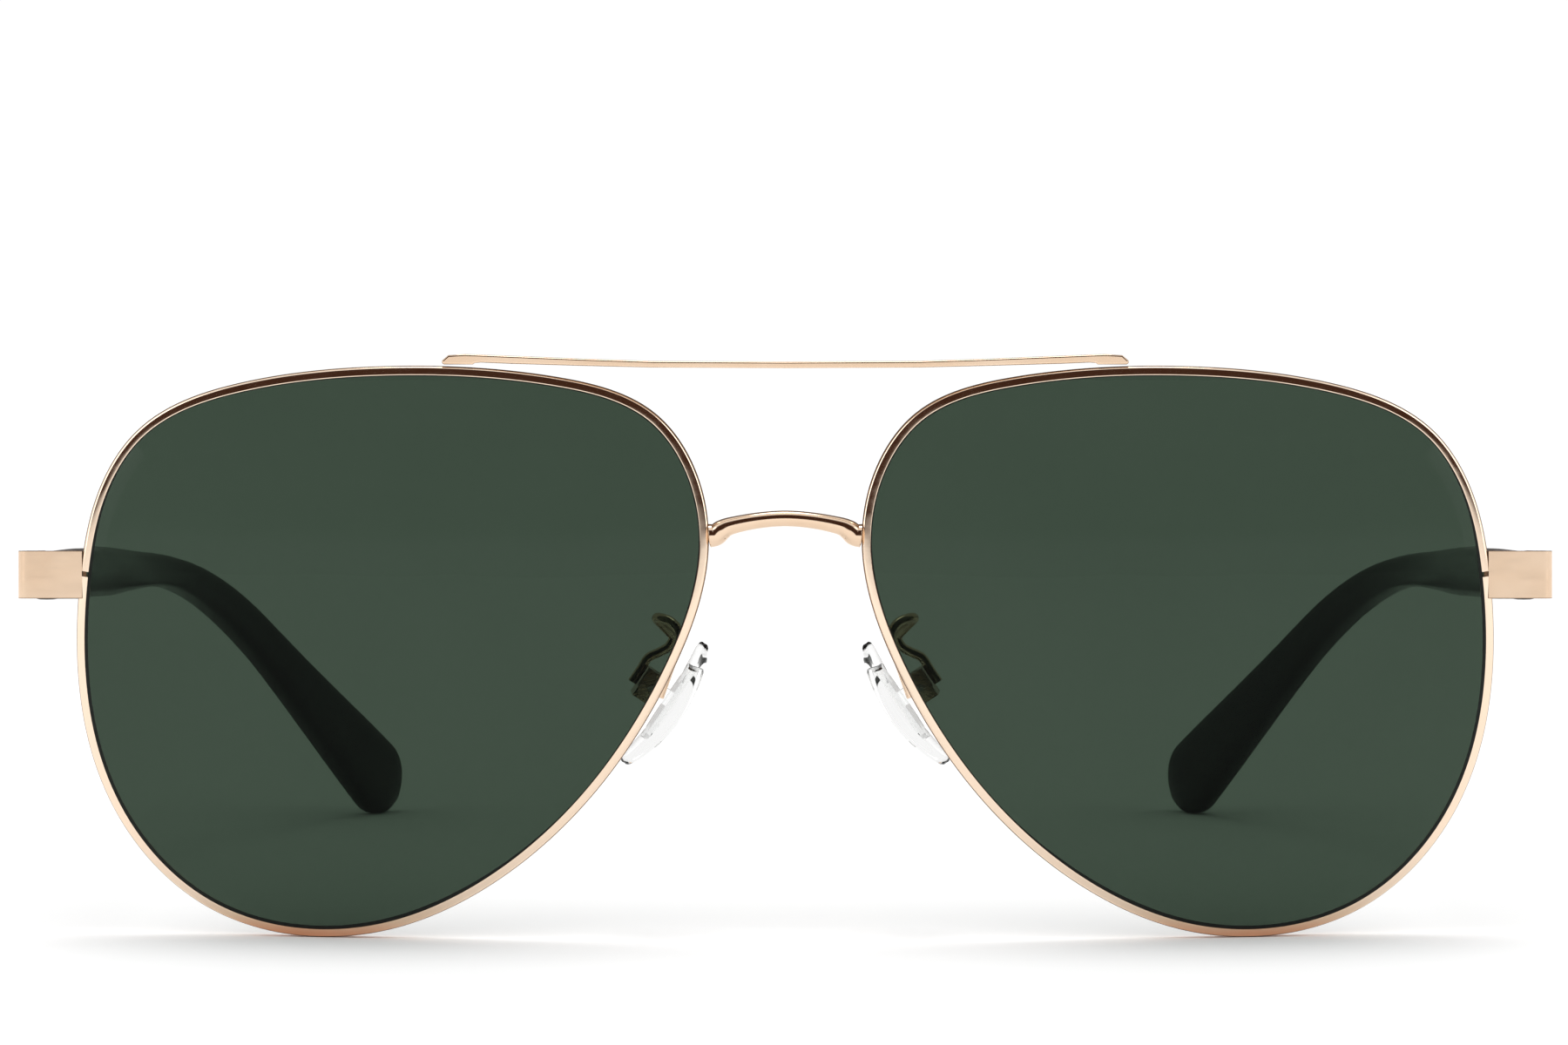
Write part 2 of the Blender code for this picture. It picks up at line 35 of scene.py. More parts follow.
# The lens outline, seen from the front: x towards the temple, y up.
LENS_OUTLINE = [
    (29.1, 7.3), (27.6, 14.3), (23.8, 20.4), (13.8, 25.0), (-0.1, 26.6), (-15.8, 25.5),
    (-24.6, 22.1), (-28.3, 16.8), (-29.5, 10.6), (-26.1, -1.6), (-17.9, -13.9), (-8.6, -21.8),
    (-0.1, -25.7), (7.3, -26.7), (17.8, -24.1), (26.4, -14.9), (29.5, -2.1),
]
OUTLINE_STEPS = 14
LENS_RADIUS = 88.0
LENS_THICK = 1.8
LENS_APEX = (37.40, -67.67, 26.77)
WRAP = math.radians(4.0)
LEAN = math.radians(3.9)
RIM_HALF_WIDTH = 0.45
RIM_HALF_DEPTH = 1.0
RIM_SPLIT = 0.25
GROOVE_HALF = 0.55
LENS_INSET = 0.06
RIM_ROUND = 0.3
RIM_INNER_ROUND = 0.16
# This many steps of the rim's outer front rounding are painted with shade, a dark outline standing in
# for the dark reflection along that edge.
RIM_SHADED_OUTLINE_STEPS = 4
# The rim's front falls outwards by this much, and its back is narrower than its front.
RIM_TILT = 0.28
RIM_TAPER = 0.1
# The lens's bevel is painted almost black, a line of painted shade standing in for the shaded inner
# wall of the rim; it is widest low down and towards the temple.
SHADE_BAND_NARROW = 0.02
SHADE_BAND_WIDE = 0.3
BEVEL_FALL = 0.06

# The side frame stands on the lug's front face, and its Y slopes down to the rear.
LUG_Y = -60.80
LUG_Z = 34.15
SIDE_SLOPE = math.radians(2.3)
LUG_HALF_HEIGHT = 2.25
LUG_OUTER = 72.5
LUG_INNER = 66.95
LUG_LIP = 66.3
LUG_LIFT = 0.2
# A step LUG_VALLEY wide stands beyond the lip, between these two depths behind the lug's face.
LUG_VALLEY = 0.4
LUG_VALLEY_FRONT = 0.14
LUG_LIP_BACK = 0.32
LUG_CORNER = 0.12
LUG_BEND = 1.2
LUG_THICK = 1.5
LUG_FACE_THICK = 1.85
LUG_END = 8.9
PIVOT = (68.0, 9.15)

# The temple: where it starts, and how it drops behind the ear and curls inwards.
TEMPLE_START = 9.2
TEMPLE_INNER = 69.5
TEMPLE_THICK = 3.0
TEMPLE_LENGTH = 132.95
TEMPLE_DROP = math.radians(35.6)
TEMPLE_DROP_FROM = 66.0
TEMPLE_DROP_TO = 107.0
TEMPLE_CURL = math.radians(30.6)
TEMPLE_CURL_FROM = 46.0
TEMPLE_CURL_TO = 110.0
TEMPLE_HEIGHTS = [(0, 4.6), (24, 5.1), (46, 5.0), (77, 3.4), (100, 4.7), (TEMPLE_LENGTH, 9.2)]
TIP_ROUNDING = 5.0

# The nose pad's frame: X away from the nose, Y back along the pad screw, Z up along the pad.
PAD_PIVOT = (12.90, LUG_Y + 3.14, 23.63)
PAD_LEAN = math.radians(34.0)
PAD_SPLAY = math.radians(8.0)
PAD_MIDDLE = -3.2
PAD_BOW = 1.1
PAD_HALF_LENGTH = 6.9
PAD_HALF_WIDTH = 3.8
PAD_HALF_THICK = 1.0
PAD_WIRE_RADIUS = 0.45

# The camera stands in front of the lugs, a little above them.
CAMERA_AHEAD = 500.0
CAMERA_HEIGHT = 59.14
CAMERA_SIDE = -0.12
CAMERA_PITCH = math.radians(2.275)
CAMERA_LENS = 121.86
FLOOR_HALF = 4000
SUN_SPREAD = math.radians(25)
SUN_TILT = math.radians(-8)
BOX_SIZE = (0.3, 0.6)
BOX_POWER = 0.8
SKY_STRENGTH = 1.02
SUN_STRENGTH = 0.6

# The darker copper painted as shade and reflection at the rims' foot, close to the table.
FOOT_SHADE_COPPER = (0.72, 0.35, 0.20)
MIRROR = Matrix.Scale(-1, 4, (1, 0, 0))


# ---------------------------------------------------------------- curves and meshes


def closed_spline(points, steps):
    """A smooth closed curve through the points, with this many steps from each to the next."""
    points = np.array(points, float)
    count = len(points)
    chord = np.linalg.norm(np.roll(points, -1, 0) - points, axis=1)
    weights = np.zeros((count, count))
    slopes = np.zeros((count, 2))
    for i in range(count):
        before, after = chord[i - 1], chord[i]
        nxt = (i + 1) % count
        weights[i, i - 1] += after
        weights[i, i] += 2 * (before + after)
        weights[i, nxt] += before
        slopes[i] = 3 * after / before * (points[i] - points[i - 1])
        slopes[i] += 3 * before / after * (points[nxt] - points[i])
    slopes = np.linalg.solve(weights, slopes)
    found = []
    for i in range(count):
        nxt = (i + 1) % count
        for t in np.arange(steps) / steps:
            start = (1 + 2 * t) * (1 - t) ** 2 * points[i] + t * (1 - t) ** 2 * chord[i] * slopes[i]
            end = t * t * (3 - 2 * t) * points[nxt] - t * t * (1 - t) * chord[i] * slopes[nxt]
            found.append(start + end)
    return np.array(found)


def open_curve(points, steps):
    """A smooth curve through the points (Catmull-Rom), with this many steps between them."""
    points = [Vector(p) for p in points]
    ends = [2 * points[0] - points[1], *points, 2 * points[-1] - points[-2]]
    found = []
    for a, b, c, d in zip(ends, ends[1:], ends[2:], ends[3:]):
        for k in range(steps):
            t = k / steps
            found.append(
                b
                + (c - a) * (t / 2)
                + (2 * a - 5 * b + 4 * c - d) * (t * t / 2)
                + (3 * b - a - 3 * c + d) * (t**3 / 2)
            )
    return [*found, points[-1]]


def inset(outline, amount):
    """The closed outline moved inwards by an amount."""
    along = np.roll(outline, -1, 0) - np.roll(outline, 1, 0)
    along /= np.linalg.norm(along, axis=1)[:, None]
    return outline + amount * np.stack([-along[:, 1], along[:, 0]], axis=1)


def dome(x, y):
    """How far the lens's front surface falls back from its apex."""
    return LENS_RADIUS - math.sqrt(LENS_RADIUS**2 - x * x - y * y)


def ease(start, end, value):
    """Goes smoothly from 0 to 1 between start and end."""
    t = min(max((value - start) / (end - start), 0.0), 1.0)
    return t * t * (3 - 2 * t)


def corner_arc(x, y, radius, start, end, steps=5):
    """Points round a corner, from one angle in degrees to another."""
    angles = [math.radians(start + (end - start) * i / steps) for i in range(steps + 1)]
    return [(x + radius * math.cos(a), y + radius * math.sin(a)) for a in angles]


def oval(half_width, half_height, count, power=2.0):
    """Points round an oval; a power over 2 squares it up."""
    found = []
    for i in range(count):
        c, s = math.cos(math.tau * i / count), math.sin(math.tau * i / count)
        x = math.copysign(abs(c) ** (2 / power), c) * half_width
        found.append((x, math.copysign(abs(s) ** (2 / power), s) * half_height))
    return found


def skin(name, rings, place=None, sharp=50.0):
    """A closed mesh over rings of equally many points, with a fan at each end."""
    count = len(rings[0])
    points = [Vector(p) for ring in rings for p in ring]
    faces = []
    for r in range(len(rings) - 1):
        for i in range(count):
            j = (i + 1) % count
            faces.append((r * count + i, r * count + j, (r + 1) * count + j, (r + 1) * count + i))
    for first, turn in ((0, 1), ((len(rings) - 1) * count, -1)):
        middle = len(points)
        points.append(sum(points[first : first + count], Vector()) / count)
        for i in range(count):
            ends = (first + i, middle, first + (i + 1) % count)
            faces.append(ends[::turn])
    return mesh_object(name, points, faces, place, sharp)


def mesh_object(name, points, faces, place=None, sharp=50.0):
    """An object of these points in millimetres and faces, turned so that the faces point out."""
    place = place or Matrix.Identity(4)
    mesh = bpy.data.meshes.new(name)
    mesh.from_pydata([tuple((place @ Vector(p)) * MM) for p in points], [], faces)
    mesh.update()
    if volume(mesh) < 0:
        mesh.flip_normals()
    mesh.shade_smooth()
    mesh.set_sharp_from_angle(angle=math.radians(sharp))
    obj = bpy.data.objects.new(name, mesh)
    bpy.context.scene.collection.objects.link(obj)
    return obj


def volume(mesh):
    total = 0.0
    for face in mesh.polygons:
        corners = [mesh.vertices[i].co for i in face.vertices]
        for b, c in zip(corners[1:], corners[2:]):
            total += corners[0].dot(b.cross(c))
    return total


def tube(name, route, radii, sides=20):
    """A round wire along a route, with eased edges at its ends."""
    count = len(route)
    if not isinstance(radii, list):
        radii = [radii] * count
    last = count - 1
    ahead = [(route[min(i + 1, last)] - route[max(i - 1, 0)]).normalized() for i in range(count)]
    across = ahead[0].orthogonal().normalized()
    rings = []
    for i in range(count):
        across = (across - ahead[i] * across.dot(ahead[i])).normalized()
        up = ahead[i].cross(across)
        stations = [(0.0, 1.0)]
        if i == 0:
            stations = [(0.0, 0.86), (0.03, 0.95), (0.1, 1.0)]
        if i == count - 1:
            stations = [(-0.1, 1.0), (-0.03, 0.95), (0.0, 0.86)]
        for shift, scale in stations:
            ring = []
            for k in range(sides):
                a = math.tau * k / sides
                side = across * math.cos(a) + up * math.sin(a)
                ring.append(route[i] + ahead[i] * (shift * radii[i]) + side * (radii[i] * scale))
            rings.append(ring)
    return skin(name, rings)


def mirrored(obj, name):
    """The mirror image of a left piece, as a piece of its own."""
    mesh = obj.data.copy()
    mesh.name = name
    mesh.transform(MIRROR)
    mesh.flip_normals()
    twin = bpy.data.objects.new(name, mesh)
    bpy.context.scene.collection.objects.link(twin)
    for modifier in obj.modifiers:
        copy = twin.modifiers.new(modifier.name, modifier.type)
        for key in ("width", "segments", "limit_method", "angle_limit", "harden_normals", "material"):
            setattr(copy, key, getattr(modifier, key))
    return twin


def round_edges(obj, width, segments=3, angle=35.0):
    """Rounds an object's sharp edges by a width in millimetres."""
    bevel = obj.modifiers.new("edge", "BEVEL")
    bevel.width = width * MM
    bevel.segments = segments
    bevel.limit_method = "ANGLE"
    bevel.angle_limit = math.radians(angle)
    bevel.harden_normals = True
    return obj


# ---------------------------------------------------------------- materials


class Shader:
    """A material whose Principled shader is fed by procedural nodes."""

    def __init__(self, name, roughness, metallic=0.0):
        self.material = bpy.data.materials.new(name)
        self.material.use_nodes = True
        self.nodes = self.material.node_tree.nodes
        self.links = self.material.node_tree.links
        self.surface = self.nodes["Principled BSDF"]
        self.set("Roughness", roughness)
        self.set("Metallic", metallic)
        self.place = self.nodes.new("ShaderNodeTexCoord").outputs["Object"]

    def set(self, socket, value):
        self.surface.inputs[socket].default_value = value

    def noise(self, scale, detail=3.0, stretch=None):
        place = self.place
        if stretch:
            turn = self.nodes.new("ShaderNodeMapping")
            turn.inputs["Scale"].default_value = stretch
            self.links.new(place, turn.inputs["Vector"])
            place = turn.outputs["Vector"]
        made = self.nodes.new("ShaderNodeTexNoise")
        made.inputs["Scale"].default_value = scale
        made.inputs["Detail"].default_value = detail
        self.links.new(place, made.inputs["Vector"])
        return made.outputs["Fac"]

    def spread(self, value, low, high, start=0.3, end=0.7):
        """A number that goes from low to high as the value goes from start to end."""
        made = self.nodes.new("ShaderNodeMapRange")
        made.inputs["From Min"].default_value = start
        made.inputs["From Max"].default_value = end
        made.inputs["To Min"].default_value = low
        made.inputs["To Max"].default_value = high
        self.links.new(value, made.inputs["Value"])
        return made.outputs["Result"]

    def join(self, operation, a, b):
        made = self.nodes.new("ShaderNodeMath")
        made.operation = operation
        for socket, value in zip(made.inputs, (a, b)):
            if isinstance(value, (int, float)):
                socket.default_value = value
            else:
                self.links.new(value, socket)
        return made.outputs[0]

    def colours(self, value, stops):
        ramp = self.nodes.new("ShaderNodeValToRGB")
        while len(ramp.color_ramp.elements) < len(stops):
            ramp.color_ramp.elements.new(0.5)
        for element, (at, colour) in zip(ramp.color_ramp.elements, stops):
            element.position = at
            element.color = (*colour, 1.0)
        self.links.new(value, ramp.inputs["Fac"])
        self.links.new(ramp.outputs["Color"], self.surface.inputs["Base Color"])

    def feed(self, socket, value):
        self.links.new(value, self.surface.inputs[socket])

    def bump(self, height, strength, depth):
        made = self.nodes.new("ShaderNodeBump")
        made.inputs["Strength"].default_value = strength
        made.inputs["Distance"].default_value = depth * MM
        self.links.new(height, made.inputs["Height"])
        self.links.new(made.outputs["Normal"], self.surface.inputs["Normal"])


def rose_gold(name, satin, painted_foot_shade=False):
    """Rose-gold plate, satin or polished; with painted foot shade, it grows a darker copper close to
    the table, painted shade and reflection rather than the plate's own colour.
    """
    made = Shader(name, 0.2, metallic=1.0)
    tone = made.noise(90, 4)
    # Painted shade: the tone falls to copper within 4 mm of the table.
    if painted_foot_shade:
        apart = made.nodes.new("ShaderNodeSeparateXYZ")
        made.links.new(made.place, apart.inputs[0])
        height = made.spread(apart.outputs["Z"], 0.0, 0.7, 0.0004, 0.004)
        tone = made.join("ADD", made.join("MULTIPLY", tone, 0.3), height)
    gold = [
        (0.1, FOOT_SHADE_COPPER),
        (0.45, (0.80, 0.59, 0.42)),
        (0.75, (0.87, 0.685, 0.525)),
        (0.95, (0.91, 0.73, 0.57)),
    ]
    made.colours(tone, gold if painted_foot_shade else gold[1:])
    grain = made.noise(9000, 2)
    smear = made.noise(240, 3, (1, 1, 4))
    if satin:
        broad, fine = made.spread(smear, 0.24, 0.36), made.spread(grain, 0, 0.08)
        made.feed("Roughness", made.join("ADD", broad, fine))
        made.bump(grain, 0.35, 0.012)
    else:
        made.feed("Roughness", made.spread(smear, 0.07, 0.14))
        made.bump(smear, 0.08, 0.01)
    return made.material


def plain_metal(name, low, high, roughness):
    """Turned or stamped metal with faint tool marks; also the dark metal of the painted edge shade.
    """
    made = Shader(name, roughness, metallic=1.0)
    marks = made.noise(1400, 3, (1, 1, 9))
    made.colours(marks, [(0.3, low), (0.75, high)])
    made.feed("Roughness", made.spread(marks, roughness - 0.06, roughness + 0.1))
    made.bump(marks, 0.25, 0.01)
    return made.material


def green_lens():
    """Dark green glass with a faint coating, almost without haze."""
    made = Shader("green_lens", 0.02)
    tint = made.noise(35, 2)
    made.colours(tint, [(0.2, (0.041, 0.062, 0.044)), (0.8, (0.045, 0.067, 0.048))])
    made.feed("Roughness", made.spread(made.noise(400, 3), 0.0, 0.004))
    made.set("Transmission Weight", 1.0)
    made.set("IOR", 1.12)
    return made.material


def lens_edge_painted_shade():
    """The lens's ground edge, painted almost black: painted shade standing in for the shaded inner
    wall of the rim.
    """
    made = Shader("lens_edge_painted_shade", 0.6)
    grain = made.noise(2500, 3)
    made.colours(grain, [(0.3, (0.004, 0.005, 0.004)), (0.8, (0.010, 0.012, 0.010))])
    made.bump(grain, 0.3, 0.01)
    made.set("Specular IOR Level", 0.15)
    return made.material


def black_acetate():
    """Polished black acetate with the slight waviness of a buffed surface."""
    made = Shader("black_acetate", 0.18)
    cloud = made.noise(160, 4)
    made.colours(cloud, [(0.3, (0.004, 0.006, 0.005)), (0.8, (0.009, 0.013, 0.010))])
    made.set("Specular IOR Level", 0.3)
    made.feed("Roughness", made.spread(made.noise(700, 4), 0.14, 0.27))
    made.bump(made.noise(320, 2), 0.12, 0.02)
    made.set("Coat Weight", 0.15)
    made.set("Coat Roughness", 0.08)
    return made.material


def clear_soft(name, colour, roughness, ior):
    """Clear silicone or clear plastic."""
    made = Shader(name, roughness)
    cloud = made.noise(300, 3)
    deeper = tuple(c * 0.965 for c in colour)
    made.colours(cloud, [(0.3, deeper), (0.8, colour)])
    made.feed("Roughness", made.spread(made.noise(1500, 3), roughness * 0.7, roughness * 1.4))
    made.bump(made.noise(900, 3), 0.1, 0.01)
    made.set("Transmission Weight", 1.0)
    made.set("IOR", ior)
    return made.material


def floor_paint():
    made = Shader("floor_paint", 0.9)
    made.colours(made.noise(3, 4), [(0.3, (0.92, 0.92, 0.92)), (0.8, (0.94, 0.94, 0.94))])
    made.set("Specular IOR Level", 0.1)
    return made.material


def paint(obj, *materials):
    indices = [face.material_index for face in obj.data.polygons]
    obj.data.materials.clear()
    for material in materials:
        obj.data.materials.append(material)
    for face, index in zip(obj.data.polygons, indices):
        face.material_index = min(index, len(materials) - 1)
    return obj


# ---------------------------------------------------------------- pieces of the left half


def lens_place():
    turn = Matrix.Rotation(WRAP, 4, "Z") @ Matrix.Rotation(math.pi / 2 + LEAN, 4, "X")
    return Matrix.Translation(LENS_APEX) @ turn


def side_place():
    return Matrix.Translation((0, LUG_Y, LUG_Z)) @ Matrix.Rotation(-SIDE_SLOPE, 4, "X")


def temple_place():
    return side_place() @ Matrix.Translation((*PIVOT, 0))


def rim_section():
    """The rim's section: out from the lens and forward, with a front that falls outwards."""
    w, d = RIM_HALF_WIDTH, RIM_HALF_DEPTH
    front = corner_arc(w - RIM_ROUND, d - RIM_ROUND, RIM_ROUND, 0, 90, 8)
    front += corner_arc(RIM_INNER_ROUND - w, d - RIM_INNER_ROUND, RIM_INNER_ROUND, 90, 180, 5)
    points = [(r, a - (r + w) * RIM_TILT) for r, a in front]
    points += [(-w, GROOVE_HALF), (0.0, 0.0), (-w, -GROOVE_HALF)]
    points += corner_arc(RIM_INNER_ROUND - w, RIM_INNER_ROUND - d, RIM_INNER_ROUND, 180, 270, 3)
    points += corner_arc(w - RIM_TAPER - RIM_ROUND, RIM_ROUND - d, RIM_ROUND, 270, 360, 4)
    return points


def make_rim(outline):
    route = [Vector((x, y, -dome(x, y) - LENS_THICK / 2)) for x, y in outline]
    count = len(route)
    section = rim_section()
    ahead = Vector((0, 0, 1))
    rings = []
    for i in list(range(count)) + [count]:
        at = route[i % count].copy()
        along = (route[(i + 1) % count] - route[i - 1]).normalized()
        if i in (0, count):
            at += along * (RIM_SPLIT if i == 0 else -RIM_SPLIT)
        out = along.cross(ahead).normalized()
        rings.append([at + out * r + ahead * a for r, a in section])
    rim = skin("left_rim_shell", rings, lens_place(), 40)
    sides = len(section)
    # Painted shade: the outer front rounding gets the dark second material, a painted dark reflection
    # along the rim's outer edge.
    for i in range(count):
        for face in rim.data.polygons[i * sides : i * sides + RIM_SHADED_OUTLINE_STEPS]:
            face.material_index = 1
    return rim


def shade_band_width(x, y):
    """How wide the lens's bevel, painted with shade, shows at a point of its outline."""
    low_and_outer = (x * 0.75 - y * 0.9) / 27.0
    return SHADE_BAND_NARROW + (SHADE_BAND_WIDE - SHADE_BAND_NARROW) * ease(-0.1, 0.75, low_and_outer)


def make_lens(outline):
    apex = inset(outline, LENS_INSET)
    shoulder = inset(outline, RIM_HALF_WIDTH - 0.06)
    reach = np.array([[shade_band_width(x, y)] for x, y in outline])
    polished = shoulder + (inset(outline, RIM_HALF_WIDTH + 1.0) - shoulder) * (reach + 0.06) / 1.06
    rings = []
    scales = [0.02, 0.2, 0.4, 0.6, 0.8, 0.93, 1.0]
    for scale in scales:
        rings.append([(x, y, -dome(x, y)) for x, y in polished * scale])
    bevel_ring = len(rings) - 1
    middle = LENS_THICK / 2
    rings.append([(x, y, -dome(x, y) - BEVEL_FALL) for x, y in shoulder])
    rings.append([(x, y, 0.5 - dome(x, y) - middle) for x, y in shoulder])
    rings.append([(x, y, -dome(x, y) - middle) for x, y in apex])
    rings.append([(x, y, -0.5 - dome(x, y) - middle) for x, y in shoulder])
    for scale in reversed(scales):
        rings.append([(x, y, -dome(x, y) - LENS_THICK) for x, y in shoulder * scale])
    lens = skin("left_lens_glass", rings, lens_place(), 25)
    count = len(outline)
    # Painted shade: the bevel's faces get the almost black second material.
    for face in lens.data.polygons[bevel_ring * count : (bevel_ring + 2) * count]:
        face.material_index = 1
    return lens


def extrude(name, outline, low, high, place, sharp=35.0):
    """A flat outline in X and Y between two heights."""
    rings = [[(x, y, z) for x, y in outline] for z in (low, high)]
    count = len(outline)
    points = [p for ring in rings for p in ring]
    faces = [tuple(range(count)), tuple(range(2 * count - 1, count - 1, -1))]
    for i in range(count):
        j = (i + 1) % count
        faces.append((i, count + i, count + j, j))
    return mesh_object(name, points, faces, place, sharp)


def make_lug():
    """The end piece: a flat plate beside the rim that turns back to the temple."""
    inner = LUG_OUTER - LUG_THICK
    thick = LUG_FACE_THICK
    edge, bend = LUG_CORNER, LUG_BEND
    valley = LUG_LIP - LUG_VALLEY
    outline = [(valley, LUG_LIP_BACK), (valley, LUG_VALLEY_FRONT), (LUG_LIP, LUG_VALLEY_FRONT)]
    outline += corner_arc(LUG_LIP + edge, edge, edge, 180, 270, 4)[1:]
    outline += corner_arc(LUG_OUTER - bend, bend, bend, -90, 0, 12)
    outline += [(LUG_OUTER, LUG_END), (inner, LUG_END)]
    outline += [(inner, thick + 0.4), (inner - 0.12, thick + 0.12), (inner - 0.4, thick)]
    outline += [(LUG_INNER, thick), (LUG_INNER, LUG_LIP_BACK)]
    low, high = LUG_LIFT - LUG_HALF_HEIGHT, LUG_LIFT + LUG_HALF_HEIGHT
    lug = extrude("left_lug_shell", outline, low, high, side_place(), 30)
    # Painted shade: the faces of the step beside the lip get the dark second material, a dark line
    # between lug and rim.
    for face in lug.data.polygons:
        if len(face.vertices) == 4 and face.center.x < (LUG_LIP + 0.05) * MM:
            face.material_index = 1
    lug = round_edges(lug, 0.1, 2)
    # Painted shade: the rounded edges get the dark second material too, dark outlines standing in for
    # the dark reflections along the lug's edges.
    lug.modifiers["edge"].material = 1
    return lug


def temple_heading(s):
    drop = TEMPLE_DROP * ease(TEMPLE_DROP_FROM, TEMPLE_DROP_TO, s)
    curl = TEMPLE_CURL * ease(TEMPLE_CURL_FROM, TEMPLE_CURL_TO, s)
    level = math.cos(drop)
    return Vector((-level * math.sin(curl), level * math.cos(curl), -math.sin(drop)))


def height_at(s):
    """The temple's height at a distance along it, eased between the listed places."""
    for (a, low), (b, high) in zip(TEMPLE_HEIGHTS, TEMPLE_HEIGHTS[1:]):
        if s <= b:
            return low + (high - low) * ease(a, b, s) * 0.5 + (high - low) * 0.5 * (s - a) / (b - a)
    return TEMPLE_HEIGHTS[-1][1]


def make_temple():
    round_from = TEMPLE_LENGTH - TIP_ROUNDING
    steps = 96
    stations = [0.0, 0.06, 0.18, 0.4]
    stations += [0.4 + (round_from - 0.4) * i / steps for i in range(1, steps + 1)]
    stations += [round_from + TIP_ROUNDING * math.sin(math.radians(a)) for a in range(8, 90, 8)]
    at = Vector((TEMPLE_INNER + TEMPLE_THICK / 2 - PIVOT[0], TEMPLE_START - PIVOT[1], 0))
    rings, done = [], 0.0
    for s in stations:
        while done < s - 1e-9:
            move = min(0.25, s - done)
            at = at + temple_heading(done + move / 2) * move
            done += move
        along = temple_heading(s)
        out = along.cross(Vector((0, 0, 1))).normalized()
        up = out.cross(along)
        end = max(0.0, (s - round_from) / TIP_ROUNDING)
        front = 0.22 * (1 - min(s / 0.4, 1.0)) ** 2
        tall = height_at(s) / 2 * math.sqrt(max(1 - end * end, 0.0)) - front
        wide = TEMPLE_THICK / 2 * (1 - 0.5 * end**3) - front
        rings.append([at + out * a + up * b for a, b in oval(wide, tall, 40, 4.0)])
    return skin("left_temple_shell", rings, temple_place(), 60)


def pad_place():
    up = Vector((-math.sin(PAD_LEAN), 0, math.cos(PAD_LEAN)))
    back = Vector((math.sin(PAD_SPLAY), math.cos(PAD_SPLAY), 0))
    back = (back - up * back.dot(up)).normalized()
    turn = Matrix((back.cross(up), back, up)).transposed().to_4x4()
    return Matrix.Translation(PAD_PIVOT) @ turn


def make_pad():
    """A soft pad, bowed along its length so that its ends turn away from the nose."""
    rings = []
    for i in range(29):
        a = math.pi * ((i + 0.5) / 29 - 0.5)
        z = PAD_HALF_LENGTH * math.sin(a)
        wide = PAD_HALF_WIDTH * math.cos(a) ** 0.9
        thick = PAD_HALF_THICK * math.cos(a) ** 0.5
        x = PAD_MIDDLE + PAD_BOW * (z / PAD_HALF_LENGTH) ** 2
        rings.append([(x + u, v, z - 0.6 - 0.03 * z * abs(v)) for u, v in oval(thick, wide, 36)])
    return skin("left_pad_skin", rings, pad_place(), 80)


def make_pad_arm():
    place = pad_place()
    along_box = [place @ Vector((1.62, 0, h)) for h in (2.2, 0.9, -0.6)]
    arm = [
        (11.85, LUG_Y - 2.1, 22.9),
        (11.25, LUG_Y - 2.1, 24.6),
        (10.35, LUG_Y - 1.9, 27.2),
        (10.0, LUG_Y - 1.4, 28.8),
        (10.7, LUG_Y - 0.7, 29.9),
        (11.9, LUG_Y + 0.2, 30.3),
        (12.2, LUG_Y + 1.2, 30.1),
        (11.5, LUG_Y + 2.2, 29.3),
        (10.7, LUG_Y + 2.8, 28.3),
        (11.1, LUG_Y + 2.9, 27.4),
        (11.9, LUG_Y + 2.9, 26.9),
        *along_box,
    ]
    return tube("left_pad_wire", open_curve(arm, 10), PAD_WIRE_RADIUS)


# ---------------------------------------------------------------- pieces across the middle


def make_bridge():
    half = [
        (-7.15, 0.0, 38.15, 1.12),
        (-6.5, -0.04, 38.25, 1.05),
        (-5.9, -0.15, 38.72, 0.97),
        (-5.0, -0.27, 39.12, 0.83),
        (-2.6, -0.5, 39.6, 0.76),
    ]
    points = half + [(0.0, -0.6, 39.8, 0.745)] + [(-x, y, z, r) for x, y, z, r in reversed(half)]
    route = open_curve([(x, LUG_Y - 3.1 + y, z) for x, y, z, r in points], 8)
    radii = [p.x for p in open_curve([(r, 0, 0) for x, y, z, r in points], 8)]
    return tube("bridge_wire", route, radii, 28)


def make_brow_bar():
    """A flat strip whose ends turn down onto the rims."""
    edge = [
        (0.0, 53.67),
        (12.5, 53.73),
        (19.0, 53.89),
        (25.6, 54.08),
        (28.4, 54.2),
        (29.0, 54.15),
        (29.15, 54.02),
        (31.95, 54.02),
        (32.1, 54.33),
        (31.45, 54.88),
        (29.9, 54.98),
        (25.6, 54.81),
        (19.0, 54.55),
        (12.5, 54.33),
        (0.0, 54.27),
    ]
    ring = edge[:-1] + [(-x, z) for x, z in reversed(edge[1:])]
    place = Matrix.Translation((0, LUG_Y - 3.9, 0.2)) @ Matrix.Rotation(math.pi / 2, 4, "X")
    bar = extrude("brow_bar_strip", ring, -0.9, 0.9, place, 40)
    return round_edges(bar, 0.24, 4, 50)


# ---------------------------------------------------------------- stage


